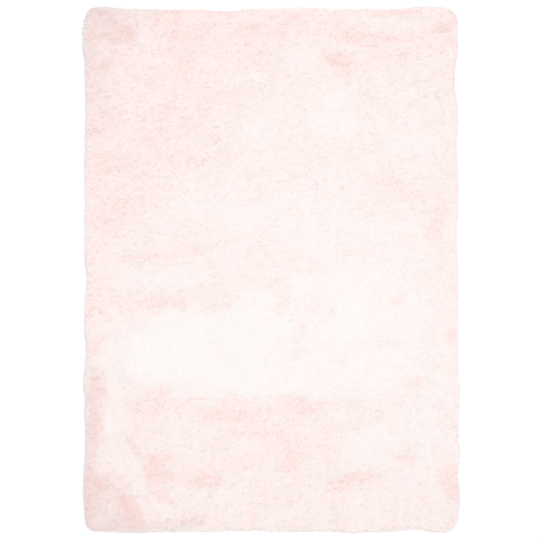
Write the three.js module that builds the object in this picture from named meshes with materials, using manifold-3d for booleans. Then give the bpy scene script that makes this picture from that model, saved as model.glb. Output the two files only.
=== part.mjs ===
// A deep-pile plush rug: one cut panel that lies flat on the floor with its pile up.
// Millimetres, +Z up, +Y along the rug's length. The origin is on the floor, under the middle.
//
// The ground cloth and the pile tufted in it are one textile, so they are one solid, and that
// solid reaches as far as the pile does. Its underside is flat. Its rim is the soft roll that
// the outermost tufts make as they splay over the edge, and its top carries the broad tracks
// that have been swept into the pile.

import * as THREE from "three";
import { mergeVertices } from "three/addons/utils/BufferGeometryUtils.js";
import Module from "manifold-3d";

// Driving dimensions
const WIDTH = 1524; // across, from pile edge to pile edge: 5 ft
const LENGTH = 2134; // along, from pile edge to pile edge: 7 ft
const PILE_HEIGHT = 36; // from the floor to the tips of the standing pile

// The rim, where the outermost tufts lean out and droop to the floor
const SHOULDER_HEIGHT = 15; // where the splayed tufts reach furthest out
const RIM_WIDTH = 46; // how far in from the outline the roll of the rim goes
const FOOT_INSET = 6; // how far the tufts draw in again where they meet the floor
const SWELL_FADE = 160; // how far in from a side its swells die out

// The grid that the panel's surfaces are made on
const RIM_LINES = [4, 13, 28, RIM_WIDTH]; // grid lines of the rim, measured in from the outline
const FIELD_STEP = 36; // the widest spacing of the grid lines inside the rim
const SIDE_LAYERS = 3; // steps up the side, from below the floor to the first rim line
const TRIM_DEPTH = 8; // how far the blank reaches below the floor, before it is cut flat

// The radius of each corner's outline. Side x is -1 for left, side y is -1 for the foot end.
const CORNERS = [
  { name: "head left", x: -1, y: 1, radius: 42 },
  { name: "head right", x: 1, y: 1, radius: 52 },
  { name: "foot left", x: -1, y: -1, radius: 46 },
  { name: "foot right", x: 1, y: -1, radius: 60 },
];

// Where the edge bulges, or draws in, from a straight line: the side, the middle of the swell
// along that side, its half width, and how far it stands out (or in, if it is negative).
const EDGE_SWELLS = [
  { side: "left", at: 940, reach: 70, out: 8 },
  { side: "left", at: 650, reach: 90, out: -3 },
  { side: "left", at: -35, reach: 50, out: -9 },
  { side: "left", at: -340, reach: 50, out: -4 },
  { side: "left", at: -460, reach: 45, out: 5 },
  { side: "left", at: -690, reach: 60, out: -3 },
  { side: "left", at: -900, reach: 80, out: 5 },
  { side: "right", at: 775, reach: 80, out: -12 },
  { side: "right", at: 500, reach: 60, out: -5 },
  { side: "right", at: 130, reach: 70, out: -5 },
  { side: "right", at: -510, reach: 110, out: 5 },
  { side: "right", at: -755, reach: 50, out: 9 },
  { side: "right", at: -825, reach: 35, out: -4 },
  { side: "right", at: -930, reach: 70, out: 6 },
  { side: "head", at: -690, reach: 55, out: 8 },
  { side: "head", at: -400, reach: 80, out: -3 },
  { side: "head", at: -190, reach: 70, out: -9 },
  { side: "head", at: 120, reach: 80, out: 4 },
  { side: "head", at: 645, reach: 80, out: 8 },
  { side: "foot", at: -565, reach: 70, out: 4 },
  { side: "foot", at: -165, reach: 30, out: -5 },
  { side: "foot", at: -60, reach: 40, out: -5 },
  { side: "foot", at: 340, reach: 70, out: 4 },
  { side: "foot", at: 580, reach: 45, out: -8 },
  { side: "foot", at: 700, reach: 45, out: 5 },
];

// Tracks swept into the pile, which lies flatter along them. Each is a soft trough with its
// middle at x, y, its length turned from +X by turn degrees, half its length and half its
// width, and how far its middle lies below the standing pile.
const TRACKS = [
  { name: "broad sweep, left part", x: -210, y: -335, turn: 3, long: 360, wide: 150, dip: 8 },
  { name: "broad sweep, right part", x: 300, y: -350, turn: 0, long: 330, wide: 160, dip: 6 },
  { name: "broad sweep, tongue above", x: 260, y: -110, turn: 90, long: 130, wide: 190, dip: 4 },
  { name: "upper stroke on the left", x: -400, y: -50, turn: 5, long: 210, wide: 48, dip: 5 },
  { name: "channel, upper run", x: -635, y: -400, turn: 100, long: 190, wide: 46, dip: 9 },
  { name: "channel, lower run", x: -560, y: -690, turn: 116, long: 200, wide: 62, dip: 10 },
  { name: "channel, tail", x: -440, y: -890, turn: 130, long: 110, wide: 50, dip: 6 },
  { name: "stroke down the right side", x: 640, y: -600, turn: 90, long: 240, wide: 40, dip: 6 },
  { name: "scoop inside it", x: 510, y: -690, turn: 80, long: 110, wide: 45, dip: 6 },
  { name: "pale patch beside the scoop", x: 390, y: -740, turn: 10, long: 90, wide: 60, dip: 4 },
  { name: "stroke near the head, left", x: -505, y: 950, turn: 96, long: 100, wide: 38, dip: 6 },
  { name: "upper wave near the head", x: 350, y: 880, turn: -8, long: 200, wide: 40, dip: 6 },
  { name: "lower wave near the head", x: 420, y: 760, turn: 12, long: 220, wide: 45, dip: 5 },
  { name: "dappled field, upper middle", x: 130, y: 820, turn: 60, long: 150, wide: 110, dip: 4 },
];

// The slow waves of a long pile that nobody has combed
const WAVES = [
  { spanX: 310, spanY: 570, height: 0.9 },
  { spanX: 830, spanY: 240, height: 0.7 },
];

const HALF_WIDTH = WIDTH / 2;
const HALF_LENGTH = LENGTH / 2;

// A soft bump: 1 at the middle, 0 well past a distance of 1, and flatter on top than a bell.
function softBump(distance) {
  return Math.exp(-(distance ** 4));
}

// 1 at the edge of the rug, easing to 0 at that distance in from it.
function fadeInwards(inset, distance) {
  const share = THREE.MathUtils.clamp(inset / distance, 0, 1);
  return 1 - THREE.MathUtils.smoothstep(share, 0, 1);
}

// Grid positions across a side of that half size, close together in the rim and even inside it.
function gridStations(halfSize) {
  const rim = RIM_LINES.map((inset) => inset - halfSize);
  const fieldHalf = halfSize - RIM_WIDTH;
  const steps = Math.ceil((2 * fieldHalf) / FIELD_STEP);
  const field = Array.from({ length: steps - 1 }, (_, i) => ((i + 1) / steps) * 2 * fieldHalf - fieldHalf);
  return [...rim, ...field, ...rim.map((place) => -place).reverse()];
}

// How far the edge stands out beside a point of the given side.
function swellOf(side, along) {
  return EDGE_SWELLS.filter((swell) => swell.side === side)
    .reduce((sum, swell) => sum + swell.out * softBump((along - swell.at) / swell.reach), 0);
}

// Turns the square corner of the plan into its arc, and keeps every ring of the rim parallel.
function roundCorner(x, y) {
  const { radius } = CORNERS.find((corner) => corner.x * x >= 0 && corner.y * y >= 0);
  const centreX = Math.sign(x) * (HALF_WIDTH - radius);
  const centreY = Math.sign(y) * (HALF_LENGTH - radius);
  const pastX = x - centreX;
  const pastY = y - centreY;
  if (pastX * x <= 0 || pastY * y <= 0) return [x, y];
  const pull = Math.max(Math.abs(pastX), Math.abs(pastY)) / Math.hypot(pastX, pastY);
  return [centreX + pastX * pull, centreY + pastY * pull];
}

// Moves a point of the plan out or in with the swells of the sides that it is near.
function swellPlan(x, y) {
  const left = swellOf("left", y) * fadeInwards(HALF_WIDTH + x, SWELL_FADE);
  const right = swellOf("right", y) * fadeInwards(HALF_WIDTH - x, SWELL_FADE);
  const head = swellOf("head", x) * fadeInwards(HALF_LENGTH - y, SWELL_FADE);
  const foot = swellOf("foot", x) * fadeInwards(HALF_LENGTH + y, SWELL_FADE);
  return [x + right - left, y + head - foot];
}

// How far the tracks lower the pile at a point.
function trackDip(x, y) {
  const dips = TRACKS.map((track) => {
    const turn = THREE.MathUtils.degToRad(track.turn);
    const along = (x - track.x) * Math.cos(turn) + (y - track.y) * Math.sin(turn);
    const across = (y - track.y) * Math.cos(turn) - (x - track.x) * Math.sin(turn);
    return track.dip * softBump(along / track.long) * softBump(across / track.wide);
  });
  return dips.reduce((deepest, dip) => Math.max(deepest, dip), 0);
}

// The slow unevenness of the pile at a point.
function waveDip(x, y) {
  return WAVES.reduce(
    (sum, wave) => sum + wave.height * (1 - Math.sin(x / wave.spanX) * Math.cos(y / wave.spanY)),
    0,
  );
}

// The height of the pile at a point, that far in from the outline.
function pileHeight(x, y, inset) {
  const fromRim = THREE.MathUtils.clamp(1 - inset / RIM_WIDTH, 0, 1);
  const roll = Math.sqrt(1 - fromRim ** 2);
  const field = PILE_HEIGHT - trackDip(x, y) - waveDip(x, y);
  return SHOULDER_HEIGHT + (field - SHOULDER_HEIGHT) * roll;
}

// How far the side draws in at a height: not at all at the shoulder, and most at the floor.
function sideInset(height) {
  return FOOT_INSET * (1 - THREE.MathUtils.clamp(height / SHOULDER_HEIGHT, 0, 1)) ** 2;
}

// The blank of the panel: a gridded box whose points are moved to the rug's plan and heights.
// It reaches below the floor, and its underside is still to be cut flat.
function blankGeometry() {
  const acrossLines = gridStations(HALF_WIDTH);
  const alongLines = gridStations(HALF_LENGTH);
  const box = new THREE.BoxGeometry(
    acrossLines.length - 1,
    alongLines.length - 1,
    SIDE_LAYERS,
    acrossLines.length - 1,
    alongLines.length - 1,
    SIDE_LAYERS,
  );
  const points = box.getAttribute("position");
  for (let i = 0; i < points.count; i++) {
    const squareX = acrossLines[Math.round(points.getX(i) + (acrossLines.length - 1) / 2)];
    const squareY = alongLines[Math.round(points.getY(i) + (alongLines.length - 1) / 2)];
    const layer = points.getZ(i) / SIDE_LAYERS + 0.5;
    const inset = Math.min(HALF_WIDTH - Math.abs(squareX), HALF_LENGTH - Math.abs(squareY));
    const [roundX, roundY] = roundCorner(squareX, squareY);
    const [x, y] = swellPlan(roundX, roundY);
    const top = pileHeight(x, y, inset);
    const height = layer * top - (1 - layer) * TRIM_DEPTH;
    // Below the first rim line the side goes out to the outline, and in again at the floor.
    const onSide = inset <= RIM_LINES[0] && layer < 1;
    const outwards = onSide ? RIM_LINES[0] - sideInset(height) : 0;
    points.setXYZ(i, x * (1 + outwards / HALF_WIDTH), y * (1 + outwards / HALF_LENGTH), height);
  }
  return box;
}

// A closed mesh as a manifold-3d solid.
function solidOf(geometry) {
  const bare = geometry.clone();
  bare.deleteAttribute("normal");
  bare.deleteAttribute("uv");
  const merged = mergeVertices(bare, 1e-3);
  return new wasm.Manifold(
    new wasm.Mesh({
      numProp: 3,
      vertProperties: merged.getAttribute("position").array,
      triVerts: new Uint32Array(merged.index.array),
    }),
  );
}

// A manifold-3d solid as a three.js geometry.
function geometryOf(solid) {
  const mesh = solid.getMesh();
  const geometry = new THREE.BufferGeometry();
  geometry.setAttribute("position", new THREE.BufferAttribute(mesh.vertProperties, mesh.numProp));
  geometry.setIndex(new THREE.BufferAttribute(mesh.triVerts, 1));
  geometry.computeVertexNormals();
  return geometry;
}

// The panel, cut flat where it lies on the floor and centred over the origin.
function panelGeometry() {
  const floorBlock = new THREE.BoxGeometry(2 * WIDTH, 2 * LENGTH, 2 * TRIM_DEPTH);
  floorBlock.translate(0, 0, -TRIM_DEPTH);
  const panel = geometryOf(solidOf(blankGeometry()).subtract(solidOf(floorBlock)));
  panel.computeBoundingBox();
  const middle = panel.boundingBox.getCenter(new THREE.Vector3());
  panel.translate(-middle.x, -middle.y, 0);
  return panel;
}

function pileMaterial() {
  return new THREE.MeshStandardMaterial({ color: 0xfdf0ee, roughness: 0.95, metalness: 0 });
}

const wasm = await Module();
wasm.setup();

const rug = new THREE.Mesh(panelGeometry(), pileMaterial());
rug.name = "rug";

const group = new THREE.Group();
group.add(rug);

export default group;
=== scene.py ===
import math

import bmesh
import bpy
import numpy as np
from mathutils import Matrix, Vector


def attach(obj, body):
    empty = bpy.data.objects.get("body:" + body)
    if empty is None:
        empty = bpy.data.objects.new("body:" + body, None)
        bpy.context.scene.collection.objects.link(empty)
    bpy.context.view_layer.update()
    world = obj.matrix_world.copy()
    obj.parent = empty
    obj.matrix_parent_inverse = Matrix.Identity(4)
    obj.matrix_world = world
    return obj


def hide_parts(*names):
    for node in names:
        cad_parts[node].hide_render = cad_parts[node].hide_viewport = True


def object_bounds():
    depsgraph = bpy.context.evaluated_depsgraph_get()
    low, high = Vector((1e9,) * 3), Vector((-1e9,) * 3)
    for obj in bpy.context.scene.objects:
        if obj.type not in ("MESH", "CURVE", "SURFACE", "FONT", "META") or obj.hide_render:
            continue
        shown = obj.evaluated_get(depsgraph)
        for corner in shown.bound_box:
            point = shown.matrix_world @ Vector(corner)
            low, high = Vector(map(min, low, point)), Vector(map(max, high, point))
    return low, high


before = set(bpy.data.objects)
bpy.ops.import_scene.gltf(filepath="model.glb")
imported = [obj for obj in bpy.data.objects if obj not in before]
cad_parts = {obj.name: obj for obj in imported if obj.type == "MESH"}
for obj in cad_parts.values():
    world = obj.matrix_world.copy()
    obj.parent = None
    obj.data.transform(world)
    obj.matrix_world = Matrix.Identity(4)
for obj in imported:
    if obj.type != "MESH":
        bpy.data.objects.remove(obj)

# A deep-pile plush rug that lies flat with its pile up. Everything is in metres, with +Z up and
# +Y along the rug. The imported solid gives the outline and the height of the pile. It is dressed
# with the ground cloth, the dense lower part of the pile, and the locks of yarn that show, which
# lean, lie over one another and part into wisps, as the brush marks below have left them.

frame_low, frame_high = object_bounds()
half_width = (frame_high.x - frame_low.x) / 2
half_length = (frame_high.y - frame_low.y) / 2
pile_height = frame_high.z

# ---- driving dimensions ----

CLOTH_THICKNESS = 0.0024  # the woven ground cloth with its coating
CLOTH_INSET = 0.012  # how far its cut edge stays back under the pile
CORE_CLEARANCE = 0.0003  # how far above the cloth the dense part begins
CORE_SKIRT = 0.008  # below this height its sides are drawn down to there
CORE_ROUGHNESS = 0.0004  # how uneven its top is, in patches of this size:
CORE_PATCHES = 0.03

LOCK_COUNT = 152000
LOCK_STRIPS = 5  # objects that they are joined into, side by side along the rug
LOCK_WIDTH = 0.0050  # across a lock at its elbow, where it is fullest
LOCK_THICKNESS = 0.0014  # and there from its back to its belly
LOCK_ROLL = 0.5  # how far it is rolled about its own length, in radians
LOCK_SIZE_SPREAD = 0.13  # how unlike in size the locks are
LOCK_SIZE_LIMITS = (0.6, 1.4)
LOCK_ROOT_DEPTH = 0.007  # how far below the tips a lock's modelled root lies
LOCK_REACH = 0.024  # how far a lock's tip is from above its root
STEEP_REACH_LESS = 0.35  # how much less it is over the rim
PARTED_REACH_LESS = 0.4  # and in a parting
TURNED_REACH_LEAST = 0.4  # the share left where the edge turns the lay right round
ELBOW_DROP = 0.0022  # how far the elbow lies below the tip
ELBOW_SHARE = 0.45  # how far along the reach it is
TIP_SPREAD = 0.0008  # how unevenly the tips end where the pile is ruffled
TIP_LIMIT = 0.003  # and at most
TIP_CLEARANCE = 0.0012  # the lowest that a lock comes to the floor
AXIS_CLEARANCE = 0.001  # how much higher its middle stays

WISP_SPACING = 0.011  # how far apart the wisps are that the locks draw together into
TUFT_SPACING = 0.052  # and the larger tufts that these lean together in
WISP_RISE = 0.0010  # how far some wisps stand up over others where the pile is ruffled
WISP_RISE_LIMITS = (-1, 2)  # the lowest and highest, times that
GATHER_LENGTHWISE = 0.5  # how much less a wisp draws together lengthwise
ELBOW_GATHER = 0.35  # how far its elbows do so, as a share of what its tips do
PARTED_DROP = 0.0012  # how much lower the tips end in a parting
SUNK_DROP = 0.0009  # and in a sunk stroke

RIM_REACH = 0.050  # how far in from the edge the pile is drawn outwards by it
RIM_SPREAD = 0.0016  # how far the locks of the rim stand out past it
RIM_GATHER = 0.30  # how much more wisps draw together there
RIM_CALM = 0.6  # how much calmer the last locks lie
RIM_CALM_STEP = (0.6, 0.95)  # how close to the edge that begins and is complete
STEEP_STEP = (0.15, 0.85)  # how far up the surface faces where it is steep, and where not
STEEP_TURN = 0.55  # how much of its lay a lock gives up to droop there

# Amounts, each with how much more it is where the pile is ruffled
CORE_DEPTH = (0.0014, 0.0026)  # how far the dense part of the pile lies below the tips
REACH_SHARES = (1.15, -0.5)  # the share of its reach that a lock has
WISP_SWING = (0.08, 0.60)  # how far a wisp is turned off the lay, in radians
TUFT_SWING = (0.10, 0.40)  # how far a tuft is
LOCK_SWING = (0.08, 0.18)  # and a lock by itself
GATHER = (0.05, 0.32)  # how far the tips of a wisp draw together
SUNK_SHOWING = (-0.2, 2.2)  # how far sunk strokes show, from 0 to 1
# and two where it stands up, and at the edge
ELBOW_DROP_SHARES = (0.5, 0.7)  # the share of its drop that an elbow has
WISP_SIZES = (0.06, 0.16)  # how unlike in size the locks of different wisps are

SHADING_BLEND = 0.85  # how far a lock is shaded as the pile round it, and not as a round of its own
RIM_LIFT = 4.0  # how strongly the pile of the rim is shaded as if it faced up
DOWN_FACING = -0.05  # faces of a lock that face further down are shaded as they face

# ---- how the pile lies ----

# Pile that has not been brushed: the way its tips point, and how flat and how unevenly it lies
REST_LAY = math.radians(188)
REST_FLATNESS = 0.62
REST_UNREST = 0.62
PALE_CALM = 0.45  # how much more evenly paler pile lies
DEEP_UNREST = 0.4  # how much less evenly pile does that is deeper than this pink
DEEP_PINK = -0.5
UNREST_LIMITS = (0.08, 1.4)
PALENESS_LIMITS = (-1.4, 1.2)  # the deepest pink, and the palest

MARK_STRAY = 0.024  # how far the outline of a brush mark wanders
MARK_STRAY_SHARE = 0.35  # but no more than this share of its half width
MARK_FRAY = 0.08  # how far it is frayed, as a share of its half size, in patches of this size:
MARK_FRAY_SIZE = 0.014
MARK_SQUARENESS = 2.3  # 2 makes a mark an ellipse, and more makes it squarer
MARK_DRIFT = 0.5  # the share of the drift of unbrushed pile that is left inside it
PARTING_LEAN = 0.6  # how far the yarn beside a parting leans away
PARTING_LEAN_WIDTH = 1.6  # over how many half widths of it
PARTING_PAINTED_PINK = 0.9  # how far it is painted the deepest pink, as shade in the parting

# Layers of smooth noise: how strong each is, the size of its patches, and its seed
STRAY_IN_X = [(1.0, 0.085, 11), (0.5, 0.030, 12)]  # how the outline of a mark wanders
STRAY_IN_Y = [(1.0, 0.085, 13), (0.5, 0.030, 14)]
DRIFT = [(0.45, 0.30, 21), (0.40, 0.11, 22)]  # how the lay of unbrushed pile turns, in radians
FLATNESS_CHANGE = [(0.16, 0.16, 23), (0.12, 0.055, 24)]  # how its flatness comes and goes
DAPPLES = [(0.14, 0.12, 26)]  # how its paleness does, in patches
STREAKS = [(0.21, 0.05, 27), (0.18, 0.02, 28)]  # and in streaks

DAPPLE_STRENGTH = (1.05, -0.75)  # of both, and how much more in paler pile
DAPPLE_LIMITS = (0.2, 1.3)

# Streaks, and the finer strokes of sunk and of shaded yarn, rise to the right by their slope, and
# are as wide for their length as their squeeze says.
STREAK_SLOPE = 0.2
STREAK_SQUEEZE = 0.5
STROKE_SLOPE = 0.3
SUNK_SQUEEZE = 0.4
SHADED_SQUEEZE = 0.25
STROKE_WIDTH = 0.0055
SUNK_STEP = (0.5, 0.85)  # how strong the noise is where a stroke begins and is complete
SHADE_OF_WISP = 0.2  # how far its wisp puts a lock in the painted shade
SHADE_OF_STROKE = 0.9  # how far its stroke does
SHADE_OF_LOCK = (2, 0.5)  # and the lock itself: the shape and the scale of the draw
SHADE_START = 1.0  # what is taken off before any of it shows

# Brush marks. Each has its middle at x, y, is turned by that angle, and has that half length and
# half width. Inside it the tips point towards lay, in degrees from +X, the pile is pressed
# down by flat (1 is smooth, 0 stands up) and its yarn is painted paler or, below 0, a deeper pink:
# painted light and shade of the brushed pile, on top of what its lay does.
# Fade is the share of its half size over which its edge is lost in the pile around it. Later
# marks lie over earlier ones.
BRUSH_MARKS = [
    # name, x, y, turn, long, wide, lay, flat, pale, fade
    # the field
    ("upper left", -0.52, 0.58, 0, 0.42, 0.48, 190, 0.55, -0.32, 1.2),
    ("at the head", -0.05, 0.97, 0, 0.75, 0.16, 186, 0.52, -0.22, 1),
    ("upper right", 0.33, 0.52, 0, 0.48, 0.34, 196, 0.72, 0.31, 1.2),
    ("middle right", 0.33, 0.12, 0, 0.5, 0.22, 196, 0.72, 0.47, 1),
    ("middle", -0.2, 0.2, 0, 0.28, 0.2, 192, 0.68, 0.46, 1),
    ("middle left", -0.62, 0.3, 90, 0.28, 0.15, 190, 0.5, -0.32, 0.9),
    ("low on the left", -0.48, 0.06, 0, 0.26, 0.12, 190, 0.6, 0.08, 1),
    ("at the foot", 0.05, -0.93, 0, 0.7, 0.13, 200, 0.6, 0.09, 0.8),
    ("lower right side", 0.64, -0.72, 90, 0.32, 0.14, 290, 0.7, 0.2, 0.8),
    ("left margin", -0.725, 0.25, 90, 0.8, 0.045, 180, 0.55, -0.35, 0.9),
    # the broad pale sweep
    ("left end", -0.59, -0.345, 85, 0.12, 0.08, 200, 0.9, 0.52, 1),
    ("left part", -0.255, -0.345, 2, 0.325, 0.172, 195, 1.0, 1.0, 0.32),
    ("lower left edge", -0.36, -0.485, -2, 0.17, 0.03, 195, 0.85, 0.62, 0.9),
    ("middle part", 0.0, -0.305, 0, 0.22, 0.235, 197, 1.0, 0.95, 0.25),
    ("right part", 0.38, -0.27, 0, 0.36, 0.275, 200, 0.9, 0.82, 0.45),
    ("right end", 0.68, -0.26, 90, 0.27, 0.08, 215, 0.75, 0.42, 0.8),
    ("brightest", 0.33, -0.2, 90, 0.09, 0.06, 205, 1.0, 1.05, 0.9),
    ("notch", 0.05, -0.13, 92, 0.055, 0.036, 240, 0.6, 0.12, 0.5),
    ("right of the notch", 0.135, -0.15, 20, 0.07, 0.035, 225, 0.7, 0.4, 0.9),
    ("dapple below it", 0.115, -0.245, 65, 0.05, 0.026, 225, 0.6, 0.3, 0.8),
    ("dapple right of it", 0.245, -0.155, 20, 0.034, 0.024, 220, 0.6, 0.45, 0.8),
    ("dapple in the middle", 0.13, -0.335, 0, 0.02, 0.016, 215, 0.6, 0.25, 0.8),
    ("small dapple low down", 0.275, -0.38, 0, 0.016, 0.012, 215, 0.6, 0.2, 0.8),
    ("dapple near the right", 0.51, -0.128, 30, 0.036, 0.018, 215, 0.5, -0.3, 0.9),
    ("dapple at the side", 0.735, -0.262, 90, 0.036, 0.022, 240, 0.5, -0.3, 0.8),
    ("dapple beside that", 0.66, -0.24, 90, 0.026, 0.02, 250, 0.5, 0.15, 0.8),
    ("faint streak", 0.44, -0.305, 5, 0.1, 0.014, 200, 0.7, 0.5, 0.9),
    # above the sweep, on the left
    ("upper stroke", -0.42, -0.04, 3, 0.19, 0.05, 190, 0.85, 0.42, 0.5),
    ("bare line", -0.52, 0.05, 3, 0.2, 0.013, 188, 0.45, -0.6, 0.7),
    ("bare line, inner end", -0.3, 0.085, 10, 0.13, 0.012, 188, 0.5, -0.25, 0.9),
    ("bank, left end", -0.57, -0.18, 35, 0.065, 0.022, 110, 0.45, -0.5, 0.6),
    ("bank, crest", -0.445, -0.142, 4, 0.085, 0.02, 110, 0.45, -0.52, 0.6),
    ("bank, darkest", -0.377, -0.152, -20, 0.024, 0.012, 110, 0.4, -0.9, 0.7),
    ("bank, middle", -0.27, -0.128, 3, 0.1, 0.028, 110, 0.5, 0.2, 0.8),
    ("bank, right end", -0.11, -0.055, 18, 0.12, 0.03, 120, 0.55, 0.22, 0.8),
    # the bank below the sweep
    ("whole bank", -0.16, -0.665, 0, 0.45, 0.13, 75, 0.42, 0.03, 0.25),
    ("right part", 0.38, -0.592, 0, 0.14, 0.038, 80, 0.4, 0.02, 0.6),
    ("darkest on the left", -0.19, -0.588, -4, 0.12, 0.028, 80, 0.2, -0.6, 0.8),
    ("darkest in the middle", 0.11, -0.56, 0, 0.11, 0.032, 80, 0.25, -0.42, 0.8),
    ("upper left end", -0.47, -0.505, 10, 0.06, 0.026, 75, 0.25, -0.45, 0.7),
    ("left end", -0.5, -0.58, 5, 0.07, 0.028, 75, 0.25, -0.38, 0.8),
    ("pale inside, left", -0.45, -0.675, 10, 0.11, 0.04, 100, 0.55, 0.0, 0.8),
    ("middle", 0.03, -0.725, 120, 0.11, 0.065, 75, 0.3, -0.52, 0.9),
    ("lower edge", -0.08, -0.775, 5, 0.1, 0.034, 75, 0.3, -0.62, 0.9),
    ("pale inside, middle", 0.03, -0.632, 0, 0.048, 0.028, 90, 0.55, 0.3, 0.8),
    ("far right", 0.225, -0.69, 90, 0.07, 0.03, 80, 0.35, -0.25, 0.9),
    ("pale by the scoop", 0.41, -0.715, 10, 0.095, 0.072, 225, 0.76, 0.66, 0.8),
    ("pale below the scoop", 0.3, -0.808, 4, 0.12, 0.02, 235, 0.8, 0.45, 0.8),
    # the right side
    ("long stroke", 0.6, -0.6, 88, 0.18, 0.085, 262, 0.85, 0.38, 0.6),
    ("bright line in it", 0.645, -0.6, 90, 0.17, 0.024, 266, 0.95, 0.58, 0.7),
    ("head of the scoop", 0.57, -0.463, 12, 0.044, 0.022, 80, 0.3, -0.4, 0.8),
    ("foot of the scoop", 0.545, -0.772, -5, 0.042, 0.018, 80, 0.3, -1.05, 0.6),
    ("patch at the foot", 0.725, -0.86, 85, 0.085, 0.04, 320, 0.3, -0.78, 0.8),
    # the channel on the left and what lies beside it
    ("strip, top", -0.73, -0.335, 0, 0.035, 0.026, 160, 0.3, -0.6, 0.7),
    ("strip", -0.718, -0.51, 92, 0.078, 0.04, 160, 0.45, -1.02, 0.5),
    ("strip, lower part", -0.722, -0.615, 88, 0.092, 0.036, 160, 0.4, -1.1, 0.5),
    ("strip, dull end", -0.735, -0.765, 90, 0.05, 0.036, 200, 0.5, -0.2, 0.6),
    ("upper run", -0.642, -0.55, 92, 0.17, 0.038, 248, 0.9, 0.46, 0.8),
    ("bend", -0.64, -0.735, 80, 0.08, 0.056, 280, 0.9, 0.15, 0.6),
    ("lower run", -0.575, -0.83, 120, 0.12, 0.046, 295, 0.95, 0.2, 0.5),
    ("tail", -0.5, -0.95, 130, 0.06, 0.04, 305, 0.8, 0.05, 0.6),
    ("mouth", -0.44, -1.0, 0, 0.075, 0.034, 300, 0.6, -0.1, 0.7),
    ("bank on the right", -0.465, -0.825, 105, 0.085, 0.048, 40, 0.35, -0.95, 0.6),
    ("bank, lower end", -0.41, -0.853, 5, 0.05, 0.026, 40, 0.3, -0.95, 0.8),
    ("bank, upper end", -0.44, -0.762, 0, 0.055, 0.024, 40, 0.2, -0.65, 0.7),
    ("upper crease", -0.557, -0.732, -52, 0.072, 0.012, 30, 0.45, -0.4, 0.9),
    ("lower crease", -0.506, -0.838, -80, 0.065, 0.012, 30, 0.4, -0.9, 0.9),
    # patches at the foot
    ("left", -0.29, -0.86, 3, 0.08, 0.032, 60, 0.5, -0.8, 0.6),
    ("middle", 0.32, -0.866, 10, 0.105, 0.03, 60, 0.5, -0.78, 0.6),
    ("pale, middle", 0.105, -0.912, 0, 0.052, 0.03, 200, 0.75, 0.42, 0.8),
    ("small, at the edge", 0.265, -1.02, 0, 0.02, 0.018, 60, 0.3, -0.75, 0.8),
    ("small, above the edge", 0.07, -0.95, 0, 0.018, 0.014, 60, 0.3, -0.6, 0.8),
    ("streak on the left", -0.435, -0.935, -12, 0.05, 0.018, 60, 0.3, -0.85, 0.8),
    ("streak in the middle", -0.075, -1.0, 90, 0.04, 0.016, 60, 0.3, -0.55, 0.8),
    ("by the edge", -0.33, -1.02, 0, 0.06, 0.022, 60, 0.5, -0.4, 0.8),
    ("above the corner", -0.628, -0.862, -50, 0.052, 0.032, 230, 0.45, -0.85, 0.8),
    ("left corner", -0.68, -0.965, 122, 0.155, 0.105, 230, 0.35, -0.88, 0.5),
    ("corner, dark wedge", -0.568, -0.998, 115, 0.078, 0.032, 230, 0.35, -1.7, 0.5),
    ("corner, red", -0.708, -0.862, 0, 0.03, 0.015, 200, 0.3, -1.7, 0.6),
    ("corner, red at the side", -0.725, -0.938, 0, 0.024, 0.017, 200, 0.3, -1.3, 0.6),
    ("corner, red at the foot", -0.66, -1.032, 60, 0.024, 0.015, 250, 0.3, -1.2, 0.6),
    ("corner, dull middle", -0.67, -0.985, 60, 0.06, 0.04, 230, 0.5, -0.4, 0.7),
    # the left side and the head
    ("low on the left side", -0.69, 0.17, 0, 0.045, 0.03, 190, 0.4, -0.62, 0.8),
    ("above the low one", -0.665, 0.26, 5, 0.055, 0.03, 190, 0.4, -0.62, 0.8),
    ("left of the middle", -0.54, 0.35, 10, 0.07, 0.045, 190, 0.45, -0.48, 0.9),
    ("left side", -0.685, 0.4, 90, 0.09, 0.034, 190, 0.4, -0.58, 0.8),
    ("further up", -0.68, 0.59, 90, 0.12, 0.06, 190, 0.45, -0.66, 0.9),
    ("left corner", -0.625, 0.94, 0, 0.125, 0.09, 190, 0.45, -0.85, 0.9),
    ("corner, inside", -0.596, 0.957, -6, 0.062, 0.034, 190, 0.45, -1.45, 0.6),
    ("corner, outside", -0.695, 1.045, -12, 0.04, 0.018, 180, 0.35, -1.2, 0.7),
    ("side near the head", -0.712, 0.82, 5, 0.062, 0.028, 180, 0.5, -0.42, 0.8),
    ("stroke by the corner", -0.525, 0.965, 94, 0.085, 0.022, 272, 0.85, 0.05, 0.6),
    ("near the head", -0.385, 1.005, 80, 0.034, 0.02, 190, 0.4, -1.05, 0.8),
    ("further left", -0.455, 0.99, 90, 0.065, 0.05, 190, 0.4, -0.62, 0.8),
    ("further right", -0.33, 0.955, 8, 0.095, 0.036, 190, 0.55, -0.62, 0.8),
    ("small and red", -0.293, 0.947, -25, 0.016, 0.01, 190, 0.5, -0.95, 0.8),
    ("band under these", -0.42, 0.89, 2, 0.16, 0.03, 188, 0.45, -0.58, 0.8),
    ("second band", -0.08, 0.985, 0, 0.06, 0.024, 188, 0.6, -0.55, 0.8),
    ("its right half", 0.025, 0.96, -25, 0.06, 0.03, 188, 0.6, -0.55, 0.8),
    ("crease across it", -0.1, 0.93, -48, 0.036, 0.011, 188, 0.35, -0.95, 0.8),
    ("patch under it", -0.1, 0.86, 0, 0.11, 0.05, 190, 0.6, -0.42, 0.9),
    ("small, below that", 0.0, 0.785, 60, 0.018, 0.014, 190, 0.4, -0.6, 0.8),
    ("dappled, upper", 0.12, 0.84, 80, 0.08, 0.06, 215, 0.75, 0.35, 0.8),
    ("dappled, middle", 0.28, 0.65, 60, 0.11, 0.06, 215, 0.75, 0.52, 0.9),
    ("dappled, lower", -0.01, 0.56, 20, 0.13, 0.055, 205, 0.75, 0.45, 0.9),
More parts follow.
